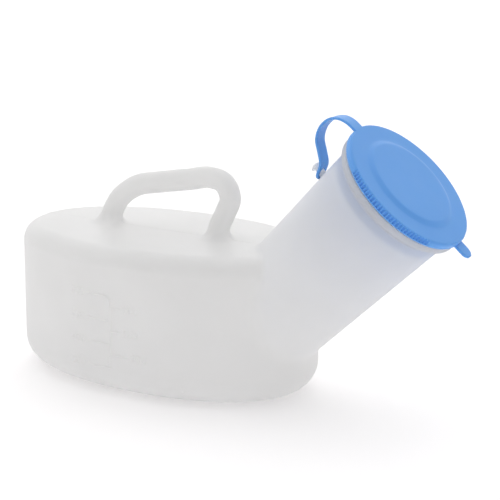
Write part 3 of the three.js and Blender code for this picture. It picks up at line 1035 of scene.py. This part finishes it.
def make_tab(material):
    """The pull tab: a strip with a full round tip, in line with the lid's lower edge."""
    way = neck_point(np.array(math.pi + LID_TURN), 1.0, np.array(0.0)) - NECK_BASE
    wide = np.cross(NECK_AXIS, way)
    start = NECK_BASE + TAB_STATION * NECK_AXIS + TAB_START * way
    points = np.array([start + way * d for d in (0.0, 2.5, 5.0)])
    ribbon = Ribbon(points, wide, wide, 1.0)
    reach = TAB_END - TAB_START
    half = STRAP_WIDTH / 2
    centre = reach - half
    flat, faces = strip_rows(0.0, centre, STRAP_WIDTH, 0.6)
    row = list(range(len(flat) - len(across(STRAP_WIDTH)), len(flat)))
    vs = across(STRAP_WIDTH)
    for share in np.linspace(0.15, 1.0, 8):
        lift = math.sin(share * math.pi / 2)
        shrink = math.cos(share * math.pi / 2)
        if shrink < 1e-6:
            break
        ring = []
        for v in vs:
            ring.append(len(flat))
            flat.append((centre + half * lift, v * max(shrink, 0.02)))
        for i in range(8):
            faces.append((row[i], ring[i], ring[i + 1], row[i + 1]))
        row = ring
    tip = len(flat)
    flat.append((centre + half, 0.0))
    for i in range(8):
        faces.append((row[i], tip, row[i + 1]))
    faces = turned_right(flat, [tuple(f) for f in faces])
    points, faces = plate(flat, faces, TAB_THICKNESS, TAB_EDGE, [0.0])
    obj = piece("pull_tab_strip", ribbon.place(points), faces, material, sharp=50)
    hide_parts("pull_tab")
    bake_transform(obj)


# ------------------------------------------------------------------ peg


def make_peg(material):
    """The mushroom peg that the strap's eyelet sits on."""
    foot = neck_radius(PEG_STATION)
    profile = [(3.9, foot - 0.5), (3.3, foot + 0.05), (2.7, foot + 0.45), (2.2, foot + 1.1)]
    profile += [(2.0, foot + 2.0), (2.0, 39.6), (2.1, 39.95), (2.9, 40.1)]
    profile += [(r, h) for r, h in circle_arc((2.9, 40.65), 0.55, -90, 60, 7)]
    profile += [(2.5, 41.75), (1.6, 42.25), (0.7, 42.45)]
    skin = Skin()
    count = 40
    angle = np.arange(count) * 2 * math.pi / count
    centre = NECK_BASE + PEG_STATION * NECK_AXIS
    rings = []
    for radius, height in profile:
        ring = (
            centre
            + height * NECK_UPPER
            + radius * np.cos(angle)[:, None] * NECK_AXIS
            + radius * np.sin(angle)[:, None] * np.array([0, 1.0, 0])
        )
        rings.append(skin.add(ring))
    for a, b in zip(rings, rings[1:]):
        skin.join(a, b)
    skin.cap(rings[0], centre + profile[0][1] * NECK_UPPER)
    skin.cap(rings[-1], centre + 42.5 * NECK_UPPER)
    obj = piece("peg", skin.points, skin.faces, material, sharp=60)
    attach(obj, "bottle")
    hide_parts("tether_peg")


# ------------------------------------------------------------------ materials


def new_material(name):
    mat = bpy.data.materials.new(name)
    mat.use_nodes = True
    nodes = mat.node_tree.nodes
    nodes.clear()
    out = nodes.new("ShaderNodeOutputMaterial")
    shader = nodes.new("ShaderNodeBsdfPrincipled")
    mat.node_tree.links.new(shader.outputs[0], out.inputs["Surface"])
    return mat, shader


def noise(mat, scale, detail=2.0, rough=0.5):
    nodes, links = mat.node_tree.nodes, mat.node_tree.links
    where = nodes.get("Texture Coordinate") or nodes.new("ShaderNodeTexCoord")
    n = nodes.new("ShaderNodeTexNoise")
    n.inputs["Scale"].default_value = scale
    n.inputs["Detail"].default_value = detail
    n.inputs["Roughness"].default_value = rough
    links.new(where.outputs["Object"], n.inputs["Vector"])
    return n.outputs["Fac"]


def mapped(mat, source, low, high, out_low, out_high):
    m = mat.node_tree.nodes.new("ShaderNodeMapRange")
    m.inputs["From Min"].default_value = low
    m.inputs["From Max"].default_value = high
    m.inputs["To Min"].default_value = out_low
    m.inputs["To Max"].default_value = out_high
    mat.node_tree.links.new(source, m.inputs["Value"])
    return m.outputs["Result"]


def two_colours(mat, share, a, b):
    m = mat.node_tree.nodes.new("ShaderNodeMix")
    m.data_type = "RGBA"
    mat.node_tree.links.new(share, m.inputs[0])
    m.inputs[6].default_value = (*a, 1)
    m.inputs[7].default_value = (*b, 1)
    return m.outputs[2]


def bumps(mat, shader, layers):
    """Stacks bump nodes: (height source, strength, distance in metres)."""
    nodes, links = mat.node_tree.nodes, mat.node_tree.links
    last = None
    for height, strength, distance in layers:
        b = nodes.new("ShaderNodeBump")
        b.inputs["Strength"].default_value = strength
        b.inputs["Distance"].default_value = distance
        links.new(height, b.inputs["Height"])
        if last is not None:
            links.new(last, b.inputs["Normal"])
        last = b.outputs["Normal"]
    links.new(last, shader.inputs["Normal"])


def clouded(mat, shader):
    """Gives the shader natural polyethylene's faint clouds; returns the clouds' share."""
    cloud = mapped(mat, noise(mat, 22, 3.0), 0.3, 0.7, 0.0, 1.0)
    colour = two_colours(mat, cloud, (0.88, 0.885, 0.88), (0.92, 0.925, 0.92))
    mat.node_tree.links.new(colour, shader.inputs["Base Color"])
    shader.inputs["IOR"].default_value = 1.5
    return cloud


def make_milky():
    """Natural polyethylene: cloudy, satin, letting a bit over half the light through."""
    mat, shader = new_material("milky_plastic")
    nodes, links = mat.node_tree.nodes, mat.node_tree.links
    cloud = clouded(mat, shader)
    rough = mapped(mat, noise(mat, 60, 3.0), 0.3, 0.7, 0.32, 0.36)
    links.new(rough, shader.inputs["Roughness"])
    bumps(
        mat,
        shader,
        [(noise(mat, 30, 1.0), 0.1, 0.0006), (noise(mat, 1500, 1.0), 0.06, 0.0001)],
    )
    through = nodes.new("ShaderNodeBsdfTranslucent")
    tint = two_colours(mat, cloud, (0.908, 0.902, 0.9), (0.942, 0.936, 0.934))
    links.new(tint, through.inputs["Color"])
    mix = nodes.new("ShaderNodeMixShader")
    mix.inputs[0].default_value = 0.55
    links.new(shader.outputs[0], mix.inputs[1])
    links.new(through.outputs[0], mix.inputs[2])
    links.new(mix.outputs[0], nodes["Material Output"].inputs["Surface"])
    return mat


def make_lining():
    """The wall's inner face. The wall's cloudiness is all in its outer face."""
    mat, shader = new_material("milky_lining")
    clouded(mat, shader)
    rough = mapped(mat, noise(mat, 60, 3.0), 0.3, 0.7, 0.36, 0.44)
    mat.node_tree.links.new(rough, shader.inputs["Roughness"])
    shader.inputs["Alpha"].default_value = 0.12
    return mat


def make_blue():
    """Soft blue polyethylene, satin, with a very fine grain."""
    mat, shader = new_material("blue_plastic")
    links = mat.node_tree.links
    cloud = mapped(mat, noise(mat, 30, 2.0), 0.3, 0.7, 0.0, 1.0)
    colour = two_colours(mat, cloud, (0.122, 0.365, 0.83), (0.134, 0.38, 0.85))
    links.new(colour, shader.inputs["Base Color"])
    shader.inputs["IOR"].default_value = 1.5
    shader.inputs["Specular IOR Level"].default_value = 0.25
    shader.inputs["Subsurface Weight"].default_value = 0.15
    shader.inputs["Subsurface Radius"].default_value = (0.3, 0.6, 1.0)
    shader.inputs["Subsurface Scale"].default_value = 0.001
    rough = mapped(mat, noise(mat, 80, 3.0), 0.3, 0.7, 0.38, 0.46)
    links.new(rough, shader.inputs["Roughness"])
    bumps(mat, shader, [(noise(mat, 1800, 1.0), 0.08, 0.0001)])
    return mat


# ------------------------------------------------------------------ stage


# The camera, in degrees and metres; the target is the middle of the view.
CAMERA_AZIMUTH = 31.7
CAMERA_ELEVATION = 14.1
CAMERA_ROLL = 0.4
CAMERA_DISTANCE = 0.884
CAMERA_TARGET = (0.054, 0, 0.0779)

EVEN_LIGHT = 0.45
# Each soft light: its direction (right, towards the camera, up), narrowness and strength.
SOFT_LIGHTS = [
    ((0, -1, 0.3), 3, 1.0),  # the lit backdrop
    ((0, -0.2, 1), 4, 1.0),  # the overhead softbox
    ((-1, -0.2, 0.3), 4, 0.4),  # the softbox on the left
    ((1, -0.2, 0.3), 4, 0.2),  # the weaker one on the right
    ((-1, -0.3, 0.2), 25, 0.3),  # a strip on the left, for the streak along the neck
]


def make_stage():
    scene = bpy.context.scene
    scene.view_settings.view_transform = "Standard"
    scene.world = make_studio()

    mesh = bpy.data.meshes.new("floor")
    size, low = 12, -0.0003  # just clear of the bottle's flat base, in metres
    mesh.from_pydata(
        [(-size, -size, low), (size, -size, low), (size, size, low), (-size, size, low)],
        [],
        [(0, 1, 2, 3)],
    )
    floor_mat, shader = new_material("floor")
    shader.inputs["Base Color"].default_value = (0.9, 0.885, 0.89, 1)
    shader.inputs["Roughness"].default_value = 0.9
    shader.inputs["Emission Color"].default_value = (1, 1, 1, 1)
    shader.inputs["Emission Strength"].default_value = 0.2
    mesh.materials.append(floor_mat)
    floor = bpy.data.objects.new("floor", mesh)
    scene.collection.objects.link(floor)


def make_studio():
    """An even white studio with soft lights, each a lobe of the sky round a direction."""
    world = bpy.data.worlds.new("studio")
    world.use_nodes = True
    nodes, links = world.node_tree.nodes, world.node_tree.links
    where = nodes.new("ShaderNodeTexCoord").outputs["Generated"]
    total = None
    for (right, front, up), width, strength in SOFT_LIGHTS:
        turn = math.radians(CAMERA_AZIMUTH)
        way = Vector(
            (
                right * math.cos(turn) + front * math.sin(turn),
                right * math.sin(turn) - front * math.cos(turn),
                up,
            )
        )
        facing = nodes.new("ShaderNodeVectorMath")
        facing.operation = "DOT_PRODUCT"
        facing.inputs[1].default_value = way.normalized()
        links.new(where, facing.inputs[0])
        lit = facing.outputs["Value"]
        for operation, value in (("MAXIMUM", 0.0), ("POWER", width), ("MULTIPLY", strength)):
            step = nodes.new("ShaderNodeMath")
            step.operation = operation
            step.inputs[1].default_value = value
            links.new(lit, step.inputs[0])
            lit = step.outputs[0]
        add = nodes.new("ShaderNodeMath")
        add.inputs[1].default_value = EVEN_LIGHT
        if total is not None:
            links.new(total, add.inputs[1])
        links.new(lit, add.inputs[0])
        total = add.outputs[0]
    nodes["Background"].inputs["Color"].default_value = (1, 1, 1, 1)
    links.new(total, nodes["Background"].inputs["Strength"])
    return world


def make_camera():
    azimuth = math.radians(CAMERA_AZIMUTH)
    elevation, roll = math.radians(CAMERA_ELEVATION), math.radians(CAMERA_ROLL)
    back = Vector(
        (
            math.sin(azimuth) * math.cos(elevation),
            -math.cos(azimuth) * math.cos(elevation),
            math.sin(elevation),
        )
    )
    right = Vector((math.cos(azimuth), math.sin(azimuth), 0))
    up = back.cross(right)
    x = math.cos(roll) * right + math.sin(roll) * up
    y = -math.sin(roll) * right + math.cos(roll) * up
    place = Vector(CAMERA_TARGET) + CAMERA_DISTANCE * back
    camera = bpy.data.cameras.new("camera")
    camera.sensor_width = 36
    camera.lens = 116.8
    camera.clip_start, camera.clip_end = 0.05, 60
    obj = bpy.data.objects.new("camera", camera)
    matrix = Matrix((x, y, back)).transposed().to_4x4()
    matrix.translation = place
    obj.matrix_world = matrix
    bpy.context.scene.collection.objects.link(obj)
    bpy.context.scene.camera = obj


make_stage()
make_camera()
milky = make_milky()
blue = make_blue()
finish_bottle(milky, make_lining())
make_peg(milky)
make_lid(blue)
make_strap(blue)
make_tab(blue)
